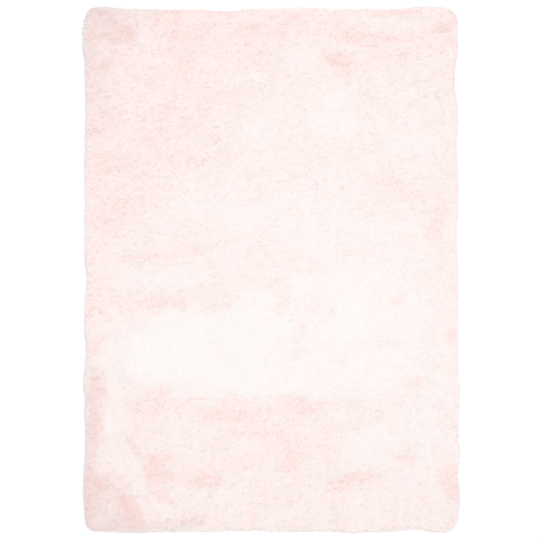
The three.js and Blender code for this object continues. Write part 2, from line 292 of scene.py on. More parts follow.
    ("pale, upper right", 0.56, 0.505, 0, 0.08, 0.035, 205, 0.75, 0.55, 0.9),
    ("pale, middle", -0.2, 0.205, 5, 0.16, 0.035, 195, 0.8, 0.5, 0.9),
    ("pale, right of the middle", 0.3, 0.235, 80, 0.075, 0.055, 200, 0.8, 0.62, 0.9),
    ("round the next patch", 0.48, 0.3, -6, 0.19, 0.075, 160, 0.5, 0.0, 0.9),
    ("right of the middle", 0.51, 0.345, -12, 0.062, 0.036, 150, 0.4, -0.55, 0.8),
    ("right of the middle, end", 0.6, 0.315, -10, 0.04, 0.018, 150, 0.4, -0.5, 0.8),
    ("right side", 0.672, 0.18, 80, 0.085, 0.038, 130, 0.4, -0.58, 0.8),
    # the waves near the head, on the right
    ("above the waves", 0.51, 1.005, 0, 0.15, 0.034, 195, 0.75, 0.42, 0.7),
    ("upper wave", 0.36, 0.952, -4, 0.1, 0.02, 195, 0.55, -0.8, 0.8),
    ("upper wave, right end", 0.5, 0.936, -6, 0.08, 0.016, 195, 0.55, -0.72, 0.8),
    ("ridge between", 0.35, 0.908, -5, 0.11, 0.015, 190, 0.85, 0.38, 0.6),
    ("patch under them", 0.27, 0.848, -5, 0.062, 0.034, 200, 0.55, -0.9, 0.7),
    ("right of that", 0.42, 0.833, 0, 0.08, 0.026, 195, 0.55, -0.5, 0.9),
    ("lower end of that", 0.29, 0.805, 0, 0.036, 0.026, 200, 0.45, -0.55, 0.8),
    ("line at the head", 0.555, 1.052, 2, 0.07, 0.01, 190, 0.4, -0.9, 0.7),
    ("line, middle", 0.43, 1.038, -8, 0.04, 0.009, 190, 0.4, -0.8, 0.7),
    ("patch at the head", 0.095, 1.038, 10, 0.034, 0.018, 190, 0.4, -0.85, 0.7),
    ("patch, right", 0.69, 0.99, -8, 0.038, 0.022, 250, 0.6, -0.62, 0.7),
    ("swirl at the right side", 0.64, 0.722, -30, 0.022, 0.009, 260, 0.4, -0.75, 0.8),
]

# Painted shade: places where the pile turns from the light and is painted duller, by dim, up to 1.
# The other columns are those of a brush mark.
PAINTED_SHADE_PLACES = [
    # name, x, y, turn, long, wide, dim, fade
    ("left side, lower", -0.775, -0.75, 90, 0.4, 0.06, 0.38, 1),
    ("strip", -0.732, -0.67, 92, 0.09, 0.03, 0.16, 1),
    ("left side, upper", -0.775, 0.94, 90, 0.11, 0.05, 0.42, 1),
    ("left side, near the head", -0.715, 0.8, 90, 0.1, 0.06, 0.26, 1),
    ("left side, middle", -0.705, 0.64, 90, 0.14, 0.05, 0.18, 1),
    ("along the head, left", -0.6, 1.052, 0, 0.21, 0.034, 0.36, 1),
    ("along the foot, left", -0.56, -1.048, 0, 0.21, 0.034, 0.4, 1),
    ("red patch", -0.704, -0.852, 0, 0.05, 0.036, 0.28, 1),
    ("bank by the channel", -0.455, -0.84, 100, 0.08, 0.05, 0.09, 1),
    ("corner at the foot, right", 0.735, -0.95, 90, 0.11, 0.036, 0.16, 1),
    ("corner at the head, right", 0.715, 1.02, 0, 0.05, 0.04, 0.18, 1),
    ("corner at the foot, left", -0.745, -0.98, 0, 0.13, 0.12, 0.42, 1),
    ("dark wedge of that corner", -0.58, -0.985, 115, 0.09, 0.04, 0.24, 1),
    ("corner at the head, left", -0.705, 1.035, 20, 0.07, 0.045, 0.52, 1),
    ("inside that corner", -0.63, 0.965, 4, 0.09, 0.05, 0.34, 0.8),
    ("patch by the foot", -0.32, -1.035, 0, 0.05, 0.025, 0.35, 1),
    ("edge of the channel, upper", -0.56, -0.73, -55, 0.07, 0.011, 0.34, 0.9),
    ("edge of the channel, lower", -0.508, -0.84, -82, 0.065, 0.011, 0.22, 0.9),
]

# Partings: narrow lines where the pile has opened and the yarn leans away on both sides, and is
# painted a deeper pink as shade.
PARTINGS = [
    # name, points along it, half width
    ("upper right, long", [(0.4, 0.862), (0.485, 0.866), (0.523, 0.872), (0.56, 0.887)], 0.006),
    ("upper right, inner", [(0.27, 0.928), (0.317, 0.923), (0.373, 0.912), (0.44, 0.912)], 0.0035),
    ("right side", [(0.66, 0.725), (0.69, 0.68), (0.705, 0.62)], 0.0045),
    ("middle", [(0.02, 0.358), (0.07, 0.366), (0.12, 0.384)], 0.004),
    ("bank, left", [(-0.345, -0.529), (-0.3, -0.523), (-0.262, -0.527)], 0.004),
    ("bank, right", [(0.205, -0.541), (0.245, -0.548), (0.29, -0.545)], 0.004),
]

# Colours, as linear red, green and blue
YARN_COLOURS = {
    # Painted light and shade of the brushed pile: the yarn goes from the second colour to the first
    # with its paleness.
    "Yarn In Painted Light": (0.912, 0.881, 0.858),
    "Yarn In Painted Shade": (0.985, 0.862, 0.839),
    "Deep Painted Shade": (1.0, 0.880, 0.860),  # painted shade: what these are multiplied by deep in the pile, for a deeper pink
    "Dim Painted Shade": (0.860, 0.865, 0.880),  # and painted shade, where the pile turns from the light
}
CLOTH_DARK = (0.60, 0.55, 0.49)  # between the threads of the ground cloth
CLOTH_LIGHT = (0.80, 0.76, 0.70)  # and on them
ROOT_DEPTH = 0.9  # how far the lower ends of ruffled locks take the painted deep shade
CORE_SHADE = 0.9  # how far the dense pile below them does
PARTED_DEPTH = 0.8  # how far a lock in a parting does
SUNK_DEPTH = 0.9  # how far one in a sunk stroke does
SUNK_PAINTED_PINK = 0.5  # and how much deeper a pink its yarn is painted, as shade
SHADED_DEPTH = 0.35  # how far a shaded lock takes the painted deep shade where the pile is ruffled
SHADED_PAINTED_DIM = 0.65  # and how far it takes the painted dim shade there

# ---- small maths ----

NOISE_CELLS = 256  # how many patches of smooth noise there are before it repeats
SCATTER_CELLS = 512  # and how many centres of a scatter, both ways
SCATTER_MARGIN = 0.1  # how far into its cell a centre is at least
EVEN_STEPS = (0.7548776662466927, 0.5698402909980532)  # steps that fill a square evenly


def smooth_step(low, high, value):
    """0 below low, 1 above high, and an even S between them."""
    share = np.clip((value - low) / (high - low), 0, 1)
    return share * share * (3 - 2 * share)


def rising(amounts, share):
    """The first amount, and that share of the second on top of it."""
    least, more = amounts
    return least + more * share


def unit(vectors):
    """Each row as a vector of length 1."""
    return vectors / np.maximum(np.linalg.norm(vectors, axis=-1, keepdims=True), 1e-9)


def patchy(x, y, size, seed):
    """Smooth noise from -1 to 1, in patches about that size across."""
    values = np.random.default_rng(seed).uniform(-1, 1, (NOISE_CELLS, NOISE_CELLS))
    across, along = x / size, y / size
    column, row = np.floor(across).astype(int), np.floor(along).astype(int)
    right, up = smooth_step(0, 1, across - column), smooth_step(0, 1, along - row)
    left_column, right_column = column % NOISE_CELLS, (column + 1) % NOISE_CELLS
    low_row, high_row = row % NOISE_CELLS, (row + 1) % NOISE_CELLS
    low = values[left_column, low_row] * (1 - right) + values[right_column, low_row] * right
    high = values[left_column, high_row] * (1 - right) + values[right_column, high_row] * right
    return low * (1 - up) + high * up


def layered(x, y, layers, start=0.0):
    """A starting value with layers of smooth noise on it, given by strength, size and seed."""
    total = start
    for strength, size, seed in layers:
        total = total + strength * patchy(x, y, size, seed)
    return total


def slanted(x, y, slope, squeeze):
    """Places along and across lines of that slope, squeezed so that round patches are streaks."""
    return squeeze * (x + slope * y), y - slope * x


def strokes(x, y, squeeze, seed):
    """Smooth noise from -1 to 1 in fine strokes along the yarn."""
    return patchy(*slanted(x, y, STROKE_SLOPE, squeeze), STROKE_WIDTH, seed)


def nearest_of_scatter(x, y, spacing, seed):
    """For each point, the nearest of a loose scatter of centres: its place and its own number."""
    draws = np.random.default_rng(seed).uniform(0, 1, (SCATTER_CELLS, SCATTER_CELLS, 2))
    column, row = np.floor(x / spacing).astype(int), np.floor(y / spacing).astype(int)
    best = np.full(len(x), np.inf)
    centre = np.zeros((len(x), 2))
    number = np.zeros(len(x), int)
    for step_x in (-1, 0, 1):
        for step_y in (-1, 0, 1):
            cell_x, cell_y = column + step_x, row + step_y
            drawn_x, drawn_y = cell_x % SCATTER_CELLS, cell_y % SCATTER_CELLS
            draw = draws[drawn_x, drawn_y]
            corner = np.stack([cell_x, cell_y], 1)
            place = (corner + SCATTER_MARGIN + (1 - 2 * SCATTER_MARGIN) * draw) * spacing
            distance = np.hypot(place[:, 0] - x, place[:, 1] - y)
            closer = distance < best
            best[closer] = distance[closer]
            centre[closer] = place[closer]
            number[closer] = (drawn_x * SCATTER_CELLS + drawn_y)[closer]
    return centre, number


def scatter_draws(seed):
    """Three normally spread random numbers for each centre of a scatter."""
    return np.random.default_rng(seed).normal(0, 1, (SCATTER_CELLS * SCATTER_CELLS, 3))


def turned_by(heading, angle):
    """Level directions turned by that angle, with a height of 0 added."""
    x, y = heading[:, 0], heading[:, 1]
    turned_x = x * np.cos(angle) - y * np.sin(angle)
    turned_y = x * np.sin(angle) + y * np.cos(angle)
    return np.stack([turned_x, turned_y, np.zeros(len(x))], 1)


# ---- the rug's surface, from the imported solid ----

UNDERSIDE_NORMAL = -0.99  # what faces further down than this is the flat underside
FLOOR_LEVEL = 1e-4  # and what lies lower than this is on the floor


def welded_copy(node):
    """The node's mesh as a bmesh of its own, with the points that faces share joined."""
    copy = bmesh.new()
    copy.from_mesh(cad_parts[node].data)
    bmesh.ops.remove_doubles(copy, verts=copy.verts, dist=1e-6)
    bmesh.ops.recalc_face_normals(copy, faces=copy.faces)
    return copy


def pile_normal(vert):
    """The way that the surface faces at a point, leaving out the underside."""
    total = Vector((0, 0, 0))
    for face in vert.link_faces:
        if face.normal.z > UNDERSIDE_NORMAL:
            total += face.normal * face.calc_area()
    return total.normalized() if total.length else vert.normal


def spread_over_pile(count):
    """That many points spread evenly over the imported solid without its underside, which is how
    far the tips of the pile reach, and the way that it faces there."""
    solid = welded_copy("rug")
    bmesh.ops.triangulate(solid, faces=solid.faces)
    solid.verts.index_update()
    points = np.array([vert.co for vert in solid.verts])
    normals = np.array([pile_normal(vert) for vert in solid.verts])
    faces = np.array([[vert.index for vert in face.verts] for face in solid.faces])
    solid.free()
    faces = faces[points[:, 2][faces].max(1) > FLOOR_LEVEL]
    corners = points[faces]
    crossed = np.cross(corners[:, 1] - corners[:, 0], corners[:, 2] - corners[:, 0])
    areas = np.linalg.norm(crossed, axis=1) / 2

    reached = np.cumsum(areas) / areas.sum() * count
    number = np.arange(int(count))
    face = np.minimum(np.searchsorted(reached, number + 0.5), len(faces) - 1)
    first, second = ((0.5 + number * step) % 1 for step in EVEN_STEPS)
    over = first + second > 1
    first, second = np.where(over, 1 - first, first), np.where(over, 1 - second, second)
    shares = np.stack([1 - first - second, first, second], 1)[:, :, None]
    corners = faces[face]
    return (points[corners] * shares).sum(1), unit((normals[corners] * shares).sum(1))


# ---- how the pile lies at each point ----


def ragged_outline(x, y):
    """How far the outlines of all marks wander at each point, both ways, and how they fray."""
    fray = MARK_FRAY * patchy(x, y, MARK_FRAY_SIZE, 15)
    return layered(x, y, STRAY_IN_X), layered(x, y, STRAY_IN_Y), fray


def mark_mask(x, y, ragged, shape, fade):
    """How strongly a mark holds at each point, from 0 to 1, with a ragged edge."""
    wander_x, wander_y, fray = ragged
    middle_x, middle_y, turn, long, wide = shape
    angle = math.radians(turn)
    stray = min(MARK_STRAY, MARK_STRAY_SHARE * wide)
    from_x, from_y = x + wander_x * stray - middle_x, y + wander_y * stray - middle_y
    along = (from_x * math.cos(angle) + from_y * math.sin(angle)) / long
    across = (from_y * math.cos(angle) - from_x * math.sin(angle)) / wide
    squared = np.abs(along) ** MARK_SQUARENESS + np.abs(across) ** MARK_SQUARENESS
    distance = squared ** (1 / MARK_SQUARENESS)
    return 1 - smooth_step(1 - fade / 2, 1 + fade / 2, distance + fray)


def distance_to_line(x, y, points):
    """How far each point is from a line through points, and which way it lies from it."""
    best = np.full(len(x), np.inf)
    away = np.zeros((len(x), 2))
    for start, end in zip(points, points[1:]):
        run = np.array(end) - start
        share = ((x - start[0]) * run[0] + (y - start[1]) * run[1]) / (run @ run)
        share = np.clip(share, 0, 1)
        offset = np.stack([x - start[0] - share * run[0], y - start[1] - share * run[1]], 1)
        distance = np.linalg.norm(offset, axis=1)
        closer = distance < best
        best[closer] = distance[closer]
        away[closer] = unit(offset[closer])
    return best, away


def level_direction(angle):
    """That angle from +X as a row of X and Y."""
    return np.stack([np.cos(angle), np.sin(angle)], 1)


def unrest_of(paleness):
    """How unevenly the locks lie: the deeper its pink, the more the pile is ruffled."""
    deep = np.maximum(DEEP_PINK - paleness, 0)
    return np.clip(REST_UNREST - PALE_CALM * paleness + DEEP_UNREST * deep, *UNREST_LIMITS)


def pile_lay(x, y):
    """At each point: the way the tips point, how flat the pile lies, how pale and how dim it
    is painted as light and shade, how deep a parting it stands in and how unevenly its locks lie."""
    drift = layered(x, y, DRIFT)
    heading = level_direction(REST_LAY + drift)
    flatness = layered(x, y, FLATNESS_CHANGE, REST_FLATNESS)
    paleness = np.zeros(len(x))
    ragged = ragged_outline(x, y)
    for _, *shape, lay, flat, pale, fade in BRUSH_MARKS:
        hold = mark_mask(x, y, ragged, shape, fade)
        way = level_direction(math.radians(lay) + MARK_DRIFT * drift)
        heading += (way - heading) * hold[:, None]
        flatness += (flat - flatness) * hold
        paleness += (pale - paleness) * hold
    # Over the marks the pile is dappled, and streaked along the lay.
    along, across = slanted(x, y, STREAK_SLOPE, STREAK_SQUEEZE)
    dappled = layered(along, across, STREAKS, layered(x, y, DAPPLES))
    paleness += dappled * np.clip(rising(DAPPLE_STRENGTH, paleness), *DAPPLE_LIMITS)
    # Painted shade: duller where the pile turns from the light.
    dim = np.zeros(len(x))
    for _, *shape, amount, fade in PAINTED_SHADE_PLACES:
        hold = mark_mask(x, y, ragged, shape, fade)
        dim += (1 - dim) * amount * hold
    parted = np.zeros(len(x))
    for _, points, width in PARTINGS:
        distance, away = distance_to_line(x, y, points)
        hold = np.exp(-((distance / (PARTING_LEAN_WIDTH * width)) ** 2))
        heading += (away - heading) * (PARTING_LEAN * hold)[:, None]
        parted = np.maximum(parted, np.exp(-((distance / width) ** 2)))
    # Painted shade: the yarn in a parting is painted towards the deepest pink.
    paleness -= (paleness - PALENESS_LIMITS[0]) * PARTING_PAINTED_PINK * parted
    return dict(
        heading=unit(heading),
        flatness=np.clip(flatness, 0, 1),
        paleness=np.clip(paleness, *PALENESS_LIMITS),
        painted_dimness=dim,
        parted=parted,
        unrest=unrest_of(paleness),
    )


# ---- locks of yarn ----


def edge_closeness(x, y):
    """0 in the field of the rug, rising to 1 at its edge, and the way straight out over it."""
    side_pull = 1 - smooth_step(0, RIM_REACH, half_width - np.abs(x))
    end_pull = 1 - smooth_step(0, RIM_REACH, half_length - np.abs(y))
    outwards = np.stack([side_pull * np.sign(x), end_pull * np.sign(y)], 1)
    return np.maximum(side_pull, end_pull), unit(outwards)


def lock_frames(count):
    """Where each lock's root, elbow and tip are, and what it looks like."""
    rng = np.random.default_rng(5)
    own_swing = rng.normal(0, 1, count)
    own_size = rng.normal(0, LOCK_SIZE_SPREAD, count)
    own_height = rng.normal(0, TIP_SPREAD, count)
    own_shade = rng.gamma(*SHADE_OF_LOCK, count)
    number = rng.uniform(0, 1, count)
    roll = rng.uniform(-LOCK_ROLL, LOCK_ROLL, count)

    place, normal = spread_over_pile(count)
    x, y = place[:, 0], place[:, 1]
    lay = pile_lay(x, y)
    heading, parted = lay["heading"], lay["parted"]
    edge, outwards = edge_closeness(x, y)
    unrest = lay["unrest"] * (1 - RIM_CALM * smooth_step(*RIM_CALM_STEP, edge))

    wisp, wisp_number = nearest_of_scatter(x, y, WISP_SPACING, 31)
    _, tuft_number = nearest_of_scatter(x, y, TUFT_SPACING, 32)
    wisp_swing, wisp_size, wisp_height = scatter_draws(33)[wisp_number].T
    tuft_swing = scatter_draws(34)[tuft_number, 0]
    swing = (
        wisp_swing * rising(WISP_SWING, unrest)
        + tuft_swing * rising(TUFT_SWING, unrest)
        + own_swing * rising(LOCK_SWING, unrest)
    )
    # Near the edge the lay turns outwards, and the locks reach less far the further it turns.
    heading = heading * (1 - edge)[:, None] + outwards * edge[:, None]
    turned_reach = np.clip(np.linalg.norm(heading, axis=1), TURNED_REACH_LEAST, 1)
    turned = turned_by(unit(heading), swing)
    # Over the rim the locks droop towards the floor.
    steep = 1 - smooth_step(*STEEP_STEP, normal[:, 2])
    droop = turned * (1 - STEEP_TURN * steep)[:, None] + np.array([0, 0, -1.0]) * steep[:, None]
    forward = unit(droop - normal * (droop * normal).sum(1, keepdims=True))
    sideways = unit(np.cross(normal, forward))

    past_edge = (RIM_SPREAD * edge)[:, None]
    place = place + np.concatenate([outwards, np.zeros((count, 1))], 1) * past_edge

    size = np.clip(1 + own_size + rising(WISP_SIZES, edge) * wisp_size, *LOCK_SIZE_LIMITS)
    reach = LOCK_REACH * size * rising(REACH_SHARES, unrest)
    reach *= 1 - STEEP_REACH_LESS * steep
    reach *= 1 - PARTED_REACH_LESS * parted
    reach *= turned_reach
    sunk = smooth_step(*SUNK_STEP, strokes(x, y, SUNK_SQUEEZE, 27))
    sunk *= np.clip(rising(SUNK_SHOWING, unrest), 0, 1)
    tip_height = (
        unrest * WISP_RISE * np.clip(wisp_height, *WISP_RISE_LIMITS)
        + own_height * unrest
        - PARTED_DROP * parted
        - SUNK_DROP * sunk
    )
    tip_height = np.clip(tip_height, -TIP_LIMIT, TIP_LIMIT)
    elbow_height = tip_height - ELBOW_DROP * rising(ELBOW_DROP_SHARES, 1 - lay["flatness"])
    root = place - normal * LOCK_ROOT_DEPTH - forward * (reach * ELBOW_SHARE)[:, None]
    elbow = place + normal * elbow_height[:, None]
    tip = place + normal * tip_height[:, None] + forward * (reach * (1 - ELBOW_SHARE))[:, None]

    # The locks of one wisp draw together, most at their tips.
    gather = rising(GATHER, unrest) + RIM_GATHER * edge
    to_wisp = np.zeros((count, 3))
    to_wisp[:, :2] = wisp - place[:, :2]
    to_wisp -= forward * (to_wisp * forward).sum(1, keepdims=True) * GATHER_LENGTHWISE
    tip += to_wisp * gather[:, None]
    elbow += to_wisp * (ELBOW_GATHER * gather)[:, None]
    for points in (root, elbow, tip):
        points[:, 2] = np.maximum(points[:, 2], TIP_CLEARANCE + AXIS_CLEARANCE)

    # Where the pile is ruffled some locks stand in the shade of others; that shade is painted,
    # duller and pinker.
    stroke = strokes(x, y, SHADED_SQUEEZE, 29)
    shaded = SHADE_OF_WISP * wisp_size + SHADE_OF_STROKE * stroke + own_shade - SHADE_START
    shaded = np.maximum(shaded, 0)
    form = dict(root=root, elbow=elbow, tip=tip, sideways=sideways, normal=normal, size=size)
    return dict(
        **form,
        roll=roll,
        number=number,
        # Painted shade: sunk strokes are painted pinker, and sunk, parted and shaded locks take the
        # painted deep shade.
        paleness=lay["paleness"] - SUNK_PAINTED_PINK * sunk,
        depth=PARTED_DEPTH * parted + SUNK_DEPTH * sunk + SHADED_DEPTH * unrest * shaded,
        root_depth=ROOT_DEPTH * unrest,
        # Painted shade: the dim places, and the dimming of locks shaded by others.
        painted_dimness=lay["painted_dimness"] + SHADED_PAINTED_DIM * unrest * shaded,
    )


RING_ANGLES = np.radians([90, 210, 330])
LOCK_POINTS = 5  # the root, three round the elbow, and the tip
LOCK_FACES = np.array([(0, 2, 1), (0, 3, 2), (0, 1, 3), (1, 2, 4), (2, 3, 4), (3, 1, 4)])
# Each face corner's place round the lock, in thirds of a turn
LOCK_TURNS = np.array([(0.5, 1, 0), (1.5, 2, 1), (2.5, 3, 2), (0, 1, 0.5), (1, 2, 1.5), (2, 3, 2.5)])
LOCK_ALONG = np.array([0, 0.5, 0.5, 0.5, 1.0])  # how far along the lock each point is
LOCK_SHADE = np.array([1.0, 0.5, 0.5, 0.5, 0.0])  # how far each point takes the painted deep shade
YARN_SHIFTS = (97, 53)  # how far its grain is shifted from lock to lock, across and along


def ring(middle, ahead, sideways, roll, width, thickness):
    """Three points round a lock at its middle point, square to the way it runs."""
    side = unit(sideways - ahead * (sideways * ahead).sum(1, keepdims=True))
    back = np.cross(ahead, side)
    points = []
    for angle in RING_ANGLES:
        across = np.cos(angle + roll) * width / 2
        up = np.sin(angle + roll) * thickness / 2
        points.append(middle + side * across[:, None] + back * up[:, None])
    return np.stack(points, 1)


def add_values(mesh, label, values):
    """One number for each point of a mesh, for its material to read."""
    mesh.attributes.new(label, "FLOAT", "POINT").data.foreach_set("value", values.astype(np.float32))


def lock_points(locks):
    """The points of each lock, and the way that the corners of its faces are shaded."""
    root, elbow, tip = locks["root"], locks["elbow"], locks["tip"]
    width, thickness = LOCK_WIDTH * locks["size"], LOCK_THICKNESS * locks["size"]
    elbow_ring = ring(elbow, unit(tip - root), locks["sideways"], locks["roll"], width, thickness)
    points = np.concatenate([root[:, None, :], elbow_ring, tip[:, None, :]], 1)
    points[:, :, 2] = np.maximum(points[:, :, 2], TIP_CLEARANCE)
    facing = unit(locks["normal"] + np.array([0, 0, RIM_LIFT]))[:, None, :]
    own = np.concatenate([facing, unit(elbow_ring - elbow[:, None, :]), facing], 1)
    shading = unit(own * (1 - SHADING_BLEND) + facing * SHADING_BLEND)

    # Seen from above the locks take the light together; their undersides are shaded as they face.
    first, second, third = (points[:, LOCK_FACES[:, corner]] for corner in range(3))
    outward = unit(np.cross(second - first, third - first))[:, :, None, :]
    return points, np.where(outward[..., 2:] < DOWN_FACING, outward, shading[:, LOCK_FACES])


def lock_mesh(name, locks):
    """One mesh of many locks, each a closed form of its own."""
    points, shading = lock_points(locks)
    count = len(points)
    corners = LOCK_FACES.ravel()
    loops = (np.arange(count)[:, None] * LOCK_POINTS + corners[None, :]).ravel()
    face_count = count * len(LOCK_FACES)

    mesh = bpy.data.meshes.new(name)
    mesh.vertices.add(count * LOCK_POINTS)
    mesh.vertices.foreach_set("co", points.astype(np.float32).ravel())
    mesh.loops.add(len(loops))
    mesh.loops.foreach_set("vertex_index", loops.astype(np.int32))
    mesh.polygons.add(face_count)
    mesh.polygons.foreach_set("loop_start", (np.arange(face_count) * 3).astype(np.int32))
    mesh.update(calc_edges=True)
    mesh.polygons.foreach_set("use_smooth", np.ones(face_count, bool))

    # Painted light and shade: how pale or pink, and how dim, each lock is painted.
    for label in ("paleness", "painted_dimness"):
        add_values(mesh, label, np.repeat(locks[label], LOCK_POINTS))
    # Painted shade: the deep tint, more towards the root of a lock.
    depth = locks["depth"][:, None] + locks["root_depth"][:, None] * LOCK_SHADE[None, :]
    add_values(mesh, "depth", np.clip(depth, 0, 1).ravel())
    shift_across, shift_along = (locks["number"][:, None] * shift for shift in YARN_SHIFTS)
    across = LOCK_TURNS.ravel()[None, :] / 3 + np.floor(shift_across)
    lengthwise = LOCK_ALONG[corners][None, :] + shift_along
    places = np.stack([across.ravel(), lengthwise.ravel()], 1).astype(np.float32)
    mesh.uv_layers.new(name="yarn").data.foreach_set("uv", places.ravel())
    mesh.validate()
    mesh.normals_split_custom_set(shading.reshape(-1, 3))
    return mesh


def finished_mesh(name, form):
    """A mesh of a bmesh that is no longer needed."""
    mesh = bpy.data.meshes.new(name)
    form.to_mesh(mesh)
    form.free()
    return mesh


def link(name, data):
    """A new object for a mesh, a lamp or a camera, in the scene."""
    piece = bpy.data.objects.new(name, data)
    bpy.context.scene.collection.objects.link(piece)
    return piece


def make_locks(material):
    """All the locks that show, in strips along the rug."""
    locks = lock_frames(LOCK_COUNT)
    order = np.argsort(locks["root"][:, 1], kind="stable")
    strips = []
    for number, chosen in enumerate(np.array_split(order, LOCK_STRIPS), start=1):
        name = f"pile_locks_{number}"
        mesh = lock_mesh(name, {label: values[chosen] for label, values in locks.items()})
        mesh.materials.append(material)
        strips.append(link(name, mesh))
    return strips


# ---- the dense part of the pile, and the ground cloth ----


def make_core(material):
    """The close, deep part of the pile, which shows only between the locks."""
    core = welded_copy("rug")
    core.normal_update()
    normals = [pile_normal(vert) for vert in core.verts]
    start = np.array([vert.co for vert in core.verts])
    depths = rising(CORE_DEPTH, pile_lay(start[:, 0], start[:, 1])["unrest"])
    for vert, normal, depth in zip(core.verts, normals, depths):
        vert.co -= normal * float(depth)
    bmesh.ops.subdivide_edges(core, edges=core.edges, cuts=1, use_grid_fill=True)
    place = np.array([vert.co for vert in core.verts])
    unevenness = CORE_ROUGHNESS * patchy(place[:, 0], place[:, 1], CORE_PATCHES, 41)
    lowest = CLOTH_THICKNESS + CORE_CLEARANCE
    for vert, lift in zip(core.verts, unevenness):
        vert.co.z = max(vert.co.z + lift, lowest) if vert.co.z > CORE_SKIRT else lowest
    mesh = finished_mesh("pile_core", core)
    lay = pile_lay(place[:, 0], place[:, 1])
    # Painted light and shade as on the locks; the dense pile between them takes the painted deep
    # shade, more where ruffled and in partings.
    add_values(mesh, "paleness", lay["paleness"])
    add_values(mesh, "depth", np.clip(lay["parted"] + CORE_SHADE * lay["unrest"], 0, 1))
    add_values(mesh, "painted_dimness", lay["painted_dimness"])
    mesh.polygons.foreach_set("use_smooth", np.ones(len(mesh.polygons), bool))
    mesh.materials.append(material)
    return link("pile_core", mesh)


def make_ground_cloth(material):
    """The woven cloth that the pile is tufted in: flat on the floor, its edge under the pile."""
    cloth = welded_copy("rug")
    upper = [face for face in cloth.faces if face.normal.z > UNDERSIDE_NORMAL]
    bmesh.ops.delete(cloth, geom=upper, context="FACES")
    inwards = (1 - CLOTH_INSET / half_width, 1 - CLOTH_INSET / half_length, 1)
    bmesh.ops.scale(cloth, verts=cloth.verts, vec=inwards)
    top = bmesh.ops.extrude_face_region(cloth, geom=cloth.faces[:])["geom"]
    raised = [item for item in top if isinstance(item, bmesh.types.BMVert)]
    bmesh.ops.translate(cloth, verts=raised, vec=(0, 0, CLOTH_THICKNESS))
    bmesh.ops.recalc_face_normals(cloth, faces=cloth.faces)
    mesh = finished_mesh("ground_cloth", cloth)
    mesh.materials.append(material)
    return link("ground_cloth", mesh)


# ---- materials ----


class Nodes:
    """Short ways to add the nodes of a material or a group."""

    def __init__(self, tree):
        self.tree = tree

    def fill(self, node, settings):
        """Joins what is an output to the node, and sets the rest, on its sockets or itself."""
        for label, value in settings.items():
            if isinstance(value, bpy.types.NodeSocket):
                self.tree.links.new(value, node.inputs[label])
            elif label in node.inputs:
                node.inputs[label].default_value = value
            else:
                setattr(node, label, value)

    def add(self, kind, output, **settings):
        """A new node's output of that name."""
        node = self.tree.nodes.new(kind)
        self.fill(node, settings)
        return node.outputs[output]

    def combine(self, operation, first, second):
        """One number made of two."""
        node = self.tree.nodes.new("ShaderNodeMath")
        node.operation = operation
        self.tree.links.new(first, node.inputs[0])
        self.tree.links.new(second, node.inputs[1])
        return node.outputs["Value"]


class Surface(Nodes):
    """The nodes of one material, with its Principled shader."""

    def __init__(self, name):
        self.material = bpy.data.materials.new(name)
        self.material.use_nodes = True
        super().__init__(self.material.node_tree)

    def own(self, label):
        """A value that each point of the piece brings with it."""
        return self.add("ShaderNodeAttribute", "Fac", attribute_name=label)

    def bump(self, height, strength, distance):
        """A surface that is raised where a pattern is high."""
        amounts = dict(Height=height, Strength=strength, Distance=distance)
        return self.add("ShaderNodeBump", "Normal", **amounts)

    def shaded_yarn(self, group, depth):
        """The yarn's colour with its painted light and shade, by the yarn_shade group, from the
        piece's own values and a depth.
        """
        colours = {label: (*colour, 1) for label, colour in YARN_COLOURS.items()}
        own = dict(Paleness=self.own("paleness"), PaintedDimness=self.own("painted_dimness"))
        return self.add("ShaderNodeGroup", "Colour", node_tree=group, Depth=depth, **own, **colours)

    def finished(self, colour, **others):
        """The material, with that colour and those other settings of its shader."""
        self.fill(self.tree.nodes["Principled BSDF"], {"Base Color": colour, **others})
        return self.material


def yarn_shade_group():
    """The yarn's colour with painted light and shade: paler or pinker by how it was brushed, a
    deeper pink by how deep in the pile it stands, and duller where it turns from the light.
    """
    group = bpy.data.node_groups.new("yarn_shade", "ShaderNodeTree")
    for label in ("Paleness", "Depth", "PaintedDimness"):
        group.interface.new_socket(name=label, in_out="INPUT", socket_type="NodeSocketFloat")
    for label in YARN_COLOURS:
        group.interface.new_socket(name=label, in_out="INPUT", socket_type="NodeSocketColor")
    group.interface.new_socket(name="Colour", in_out="OUTPUT", socket_type="NodeSocketColor")
    made = Nodes(group)
    given = group.nodes.new("NodeGroupInput").outputs
    limits = dict(zip(("From Min", "From Max"), PALENESS_LIMITS))
    share = made.add("ShaderNodeMapRange", "Result", Value=given["Paleness"], **limits)
    mixed = dict(data_type="RGBA", Factor=share, A=given["Yarn In Painted Shade"], B=given["Yarn In Painted Light"])
    colour = made.add("ShaderNodeMix", "Result", **mixed)
    for amount, tint in (("Depth", "Deep Painted Shade"), ("PaintedDimness", "Dim Painted Shade")):
        tinted = dict(data_type="RGBA", Factor=given[amount], A=colour, B=given[tint])
        colour = made.add("ShaderNodeMix", "Result", blend_type="MULTIPLY", **tinted)
    made.fill(group.nodes.new("NodeGroupOutput"), {"Colour": colour})
    return group


